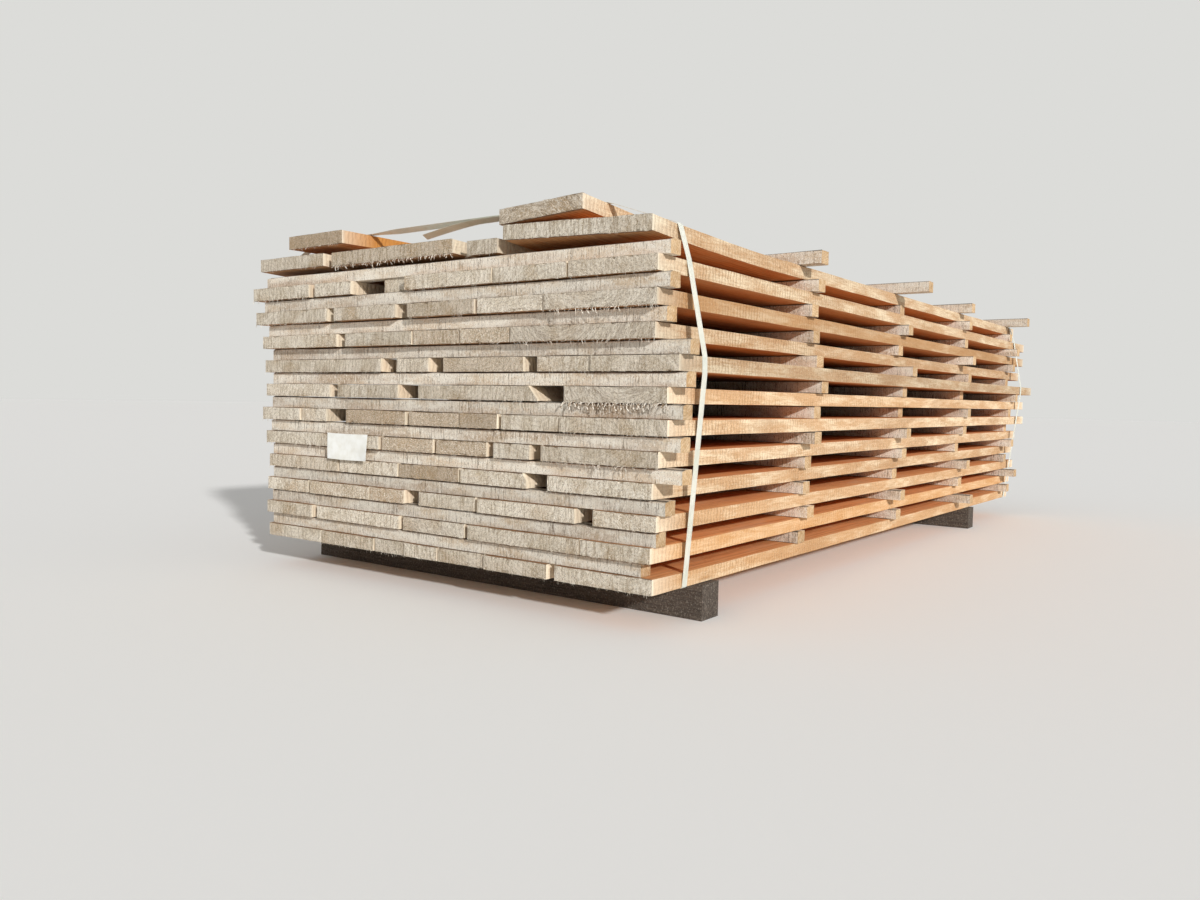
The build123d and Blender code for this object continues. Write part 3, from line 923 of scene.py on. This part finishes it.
def rounded_loop(corners):
    """Points and outward directions of a closed loop through corners, each rounded, with the straight runs
    between them cut into short ones."""
    points = []
    count = len(corners)
    for place in range(count):
        before, corner, after = (corners[(place + step) % count] for step in (-1, 0, 1))
        back, ahead = before - corner, after - corner
        cut = min(BEND_RADIUS, back.length * BEND_SHARE, ahead.length * BEND_SHARE)
        start, end = corner + back.normalized() * cut, corner + ahead.normalized() * cut
        if points:
            points += between(points[-1], start)
        arc = ARC_POINTS if back.angle(-ahead) > SHARP_BEND else 2
        for step in range(arc):
            share = step / (arc - 1)
            points.append(start.lerp(corner, share).lerp(corner.lerp(end, share), share))
    points += between(points[-1], points[0])
    total = len(points)
    tangents = [(points[(place + 1) % total] - points[place - 1]).normalized() for place in range(total)]
    return points, [Vector((tangent.y, -tangent.x)) for tangent in tangents]


def between(start, end):
    """Stations of a straight run, without its ends."""
    run = end - start
    steps = max(1, round(run.length / STATION_SPACING))
    return [start + run * step / steps for step in range(1, steps)]


def ribbon_mesh(name, points, outward, lean, width, twists, closed=True):
    """Flat ribbon along a path across the pack, turned about the path by the twists. Its edges are a little
    thinner. The lean gives its middle along the pack at the floor, and how that grows with height."""
    upper = [(-0.5, 0.3), (-0.42, 0.5), (0, 0.5), (0.42, 0.5), (0.5, 0.3)]
    profile = upper + [(0.5, -0.3), (0, -0.5), (-0.5, -0.3)]
    ring, stations = len(profile), len(points)
    verts, uvs, faces = [], [], []
    length = 0.0
    for place, (point, away, twist) in enumerate(zip(points, outward, twists)):
        if place:
            length += (point - points[place - 1]).length
        for across, up in profile:
            wide, thick = across * width, up * STRAP_THICKNESS
            offset = away * (thick * math.cos(twist) + wide * math.sin(twist))
            height = point.y + offset.y
            along = lean[0] + lean[1] * height + wide * math.cos(twist) - thick * math.sin(twist)
            verts.append((point.x + offset.x, along, height))
            uvs.append((wide, length))
    for place in range(stations if closed else stations - 1):
        first, second = place * ring, (place + 1) % stations * ring
        for side in range(ring):
            other = (side + 1) % ring
            faces.append((first + side, first + other, second + other, second + side))
    if not closed:
        faces += [tuple(range(ring)), tuple(range((stations - 1) * ring, stations * ring))]
    mesh = bpy.data.meshes.new(name)
    mesh.from_pydata(verts, [], faces)
    layer = mesh.uv_layers.new(name="ribbon")
    for loop in mesh.loops:
        layer.data[loop.index].uv = uvs[loop.vertex_index]
    facing = bmesh.new()
    facing.from_mesh(mesh)
    bmesh.ops.recalc_face_normals(facing, faces=facing.faces)
    facing.to_mesh(mesh)
    facing.free()
    mesh.update()
    return mesh


def bends_in(before, middle, after):
    """Whether a path through three places bends to the right at the middle one, or runs straight on."""
    (x, y), (far_x, far_y) = ([place[axis] - before[axis] for axis in (0, 1)] for place in (middle, after))
    return x * far_y <= y * far_x


def strap_loop(node):
    """Corners of a strap's outer side, going round, its width, and its middle along the pack at the floor
    with how that grows with height."""
    ends = {}
    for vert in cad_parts[node].data.vertices:
        ends.setdefault((round(vert.co.x, 6), round(vert.co.z, 6)), []).append(vert.co.y)
    places = sorted(ends)
    foot, head = (pick(places, key=lambda place: place[1]) for pick in (min, max))
    middles = [(min(ends[place]) + max(ends[place])) / 2 for place in (foot, head)]
    slope = (middles[1] - middles[0]) / (head[1] - foot[1])
    lean = (middles[0] - slope * foot[1], slope)
    sides = []
    for step in (1, -1):
        side = []
        for place in places[::step]:
            while len(side) > 1 and bends_in(side[-2], side[-1], place):
                side.pop()
            side.append(place)
        sides += side[:-1]
    return [Vector(place) for place in sides], max(ends[foot]) - min(ends[foot]), lean


# Turn of the front strap's free run, and the length at each end of it over which the turn comes in
FREE_TWIST = math.radians(-28)
TWIST_RUN = 90 * MM

# The strap's loose end: how far from the loose board it starts, its length, how much of that length lies
# under the free run, how far under it, and how far its tip droops
TAIL_START = 14 * MM
TAIL_LENGTH = 260 * MM
TAIL_LYING = 0.42
TAIL_BELOW = 1.5 * MM
TAIL_DROOP = 17 * MM
TAIL_STEPS = 18

# How far a strap's run across the top is, at least, over the underside of the loose board on the right
TOP_RUN = 20 * MM


def on_top(point):
    """Whether a point of a strap is on its run across the top of the pack."""
    return point.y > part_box("loose_board_right")[0].z + TOP_RUN


def free_twist(point):
    """Turn of a strap where it crosses the top between the two loose boards, with nothing under it."""
    start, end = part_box("loose_board_left")[1].x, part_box("loose_board_right")[0].x
    if not on_top(point):
        return 0.0
    share = min(max(min(point.x - start, end - point.x) / TWIST_RUN, 0.0), 1.0)
    return FREE_TWIST * share * share * (3 - 2 * share)


def strap_tail(points):
    """Path of the strap's loose end. It lies under the free run up to the loose board on the right, and
    droops away from it to the left."""
    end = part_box("loose_board_right")[0].x - TAIL_START
    top = sorted((point for point in points if on_top(point)), key=lambda point: point.x)
    tail = []
    for step in range(TAIL_STEPS + 1):
        share = step / TAIL_STEPS
        x = end - TAIL_LENGTH * share
        before = [point for point in top if point.x <= x][-1]
        after = [point for point in top if point.x > x][0]
        height = before.y + (after.y - before.y) * (x - before.x) / (after.x - before.x)
        droop = max(0.0, share - TAIL_LYING) / (1 - TAIL_LYING)
        tail.append(Vector((x, height - TAIL_BELOW - TAIL_DROOP * droop**1.3)))
    return tail


class LUMBER_OT_wrap_straps(bpy.types.Operator):
    """Wraps the two straps round the pack, the front one with its loose end on top"""

    bl_idname = "lumber.wrap_straps"
    bl_label = "Wrap straps"

    def execute(self, context):
        material = strapping()
        for node in ("strap_front", "strap_rear"):
            corners, width, lean = strap_loop(node)
            points, outward = rounded_loop(corners)
            points = [point - away * STRAP_INSET for point, away in zip(points, outward)]
            mesh = ribbon_mesh(node, points, outward, lean, width, [free_twist(point) for point in points])
            if node == "strap_front":
                path = strap_tail(points)
                up = [Vector((0, 1))] * len(path)
                twists = [free_twist(point) for point in path]
                add_mesh(mesh, ribbon_mesh("tail", path, up, lean, width, twists, closed=False))
            mesh.materials.append(material)
            finish_piece(new_object(node.replace("strap", "ribbon"), mesh), node)
        return {"FINISHED"}


# Card


CARD_COLUMNS, CARD_ROWS = 24, 12
CARD_THICKNESS = 0.3 * MM
# How far the card's sheet lies off the flat card's back at least
CARD_LIFT = 0.7 * MM
# Where its lower corners start to curl, as shares of its width, and how strongly they curl
LEFT_CURL_START, RIGHT_CURL_START = 0.3, 0.72
LEFT_CURL, RIGHT_CURL = 2.6 * MM, 45 * MM
# How far the middle of its lower edge bows out, and how high its ripple is
CARD_BOW, CARD_RIPPLE = 1.4 * MM, 0.5 * MM
# How far its middle sags, and how far its upper corners stand out sideways
CARD_SAG, CARD_FLARE = 1.0 * MM, 1.2 * MM


def card_stock():
    """Blank card label: smooth white paper, a little yellowed and dusty, with faint wrinkles."""
    material, tree = new_material("white card label")
    pack = add_node(tree, "TexCoord", output="Object")
    age = blotches(pack, 20)
    colour = coated(tree, linear("f6f6f1"), [("e9e7dd", age, 0.4, 0.75, 1.0)])
    wrinkled = bumped(tree, [(blotches(pack, 12, 2.0), 0.8)])
    add_shader(tree, {"Base Color": colour, "Roughness": 0.55, "Normal": wrinkled})
    return material


def card_sheet(low, high):
    """Thin sheet over the flat card, with its lower corners curled up, a slight bow and a ripple."""
    verts, faces = [], []
    for row in range(CARD_ROWS + 1):
        for column in range(CARD_COLUMNS + 1):
            across, up = column / CARD_COLUMNS, row / CARD_ROWS
            right_curl = RIGHT_CURL * max(0.0, across - RIGHT_CURL_START) ** 2 * (1.2 - up)
            left_curl = LEFT_CURL * max(0.0, LEFT_CURL_START - across) * (1 - up)
            bow = CARD_BOW * math.sin(math.pi * across) * (1 - up)
            ripple = CARD_RIPPLE * math.sin(7 * across + 3 * up)
            x = low.x + across * (high.x - low.x) - CARD_FLARE * up * (1 - 2 * across)
            z = low.z + up * (high.z - low.z) - CARD_SAG * math.sin(math.pi * across)
            verts.append((x, high.y - CARD_LIFT - max(0.0, right_curl + left_curl + bow + ripple), z))
            if row < CARD_ROWS and column < CARD_COLUMNS:
                corner = len(verts) - 1
                faces.append((corner, corner + 1, corner + CARD_COLUMNS + 2, corner + CARD_COLUMNS + 1))
    mesh = bpy.data.meshes.new("card")
    mesh.from_pydata(verts, [], faces)
    return mesh


class LUMBER_OT_pin_card(bpy.types.Operator):
    """Fixes the blank card to the board ends"""

    bl_idname = "lumber.pin_card"
    bl_label = "Pin card"

    def execute(self, context):
        mesh = card_sheet(*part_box("label_card"))
        mesh.materials.append(card_stock())
        card = new_object("card_label", mesh)
        depth = card.modifiers.new("depth", "SOLIDIFY")
        depth.thickness = CARD_THICKNESS
        depth.offset = -1.0
        thick = evaluated_mesh(card)
        card.modifiers.clear()
        card.data = thick
        finish_piece(card, "label_card")
        return {"FINISHED"}


# Stage


# From the pack towards the sun, and how far the floor reaches from the middle, in metres
SUN_DIRECTION = (0.824, -0.445, 0.350)
FLOOR_REACH = 40.0
BACKGROUND = "dcdcd9"


def floor_material(settings):
    """Plain pale floor that looks white to the camera and keeps the pack's shadow."""
    material, tree = new_material("pale studio floor")
    pale = tuple(settings.floor_colour)
    add_shader(tree, {"Base Color": pale, "Roughness": 0.9, "Specular IOR Level": 0.1})
    return material


class LUMBER_OT_set_stage(bpy.types.Operator):
    """Sets the camera, the lights, the floor and the pale background"""

    bl_idname = "lumber.set_stage"
    bl_label = "Set stage"

    def execute(self, context):
        settings = context.scene.lumber_stage
        scene = context.scene
        scene.view_settings.view_transform = "Standard"
        camera_data = bpy.data.cameras.new("camera")
        camera_data.lens = settings.lens
        camera_data.sensor_width = 36.0
        camera_data.clip_start = 0.05
        camera_data.clip_end = 100.0
        scene.camera = new_object("camera", camera_data)
        turn = (
            Matrix.Rotation(settings.camera_heading, 4, "Z")
            @ Matrix.Rotation(math.pi / 2 - settings.camera_pitch, 4, "X")
            @ Matrix.Rotation(settings.camera_roll, 4, "Z")
        )
        scene.camera.matrix_world = Matrix.Translation(settings.camera_place) @ turn

        floor_mesh = bpy.data.meshes.new("floor")
        corners = [(x * FLOOR_REACH, y * FLOOR_REACH, 0) for x, y in ((-1, -1), (1, -1), (1, 1), (-1, 1))]
        floor_mesh.from_pydata(corners, [], [(0, 1, 2, 3)])
        floor_mesh.materials.append(floor_material(settings))
        new_object("floor", floor_mesh)

        key_data = bpy.data.lights.new("key", "SUN")
        key_data.energy = settings.key_strength
        key_data.angle = settings.key_spread
        key = new_object("key", key_data)
        key.rotation_euler = Vector(SUN_DIRECTION).to_track_quat("Z", "Y").to_euler()

        # Even light for everything, which the camera and reflections see as a pale background
        scene.world = bpy.data.worlds.new("even light")
        scene.world.use_nodes = True
        tree = scene.world.node_tree
        tree.nodes.clear()
        path = add_node(tree, "LightPath").node.outputs
        either = {".operation": "MAXIMUM", 0: path["Is Camera Ray"], 1: path["Is Glossy Ray"]}
        seen = add_node(tree, "Math", either)
        even = add_node(tree, "Background", {"Color": (1, 1, 1, 1), "Strength": settings.sky_strength})
        pale = add_node(tree, "Background", {"Color": linear(BACKGROUND), "Strength": 1.0})
        mix = add_node(tree, "MixShader", {0: seen, 1: even, 2: pale})
        add_node(tree, "OutputWorld", {"Surface": mix})
        return {"FINISHED"}


STEPS = (
    LUMBER_OT_lay_boards,
    LUMBER_OT_lay_stickers,
    LUMBER_OT_set_bearers,
    LUMBER_OT_wrap_straps,
    LUMBER_OT_pin_card,
    LUMBER_OT_set_stage,
)


class LUMBER_PT_steps(bpy.types.Panel):
    """Lists the steps that build the pack"""

    bl_label = "Stack of lumber"
    bl_idname = "LUMBER_PT_steps"
    bl_space_type = "VIEW_3D"
    bl_region_type = "UI"
    bl_category = "Lumber"

    def draw(self, context):
        for step in STEPS:
            self.layout.operator(step.bl_idname)


CLASSES = (TimberSettings, StageSettings, *STEPS, LUMBER_PT_steps)


def register():
    for cls in CLASSES:
        bpy.utils.register_class(cls)
    bpy.types.Scene.lumber_timber = bpy.props.PointerProperty(type=TimberSettings)
    bpy.types.Scene.lumber_stage = bpy.props.PointerProperty(type=StageSettings)


def unregister():
    del bpy.types.Scene.lumber_stage
    del bpy.types.Scene.lumber_timber
    for cls in reversed(CLASSES):
        bpy.utils.unregister_class(cls)


def main():
    register()
    bpy.ops.lumber.lay_boards()
    bpy.ops.lumber.lay_stickers()
    bpy.ops.lumber.set_bearers()
    bpy.ops.lumber.wrap_straps()
    bpy.ops.lumber.pin_card()
    bpy.ops.lumber.set_stage()


if __name__ == "__main__":
    main()
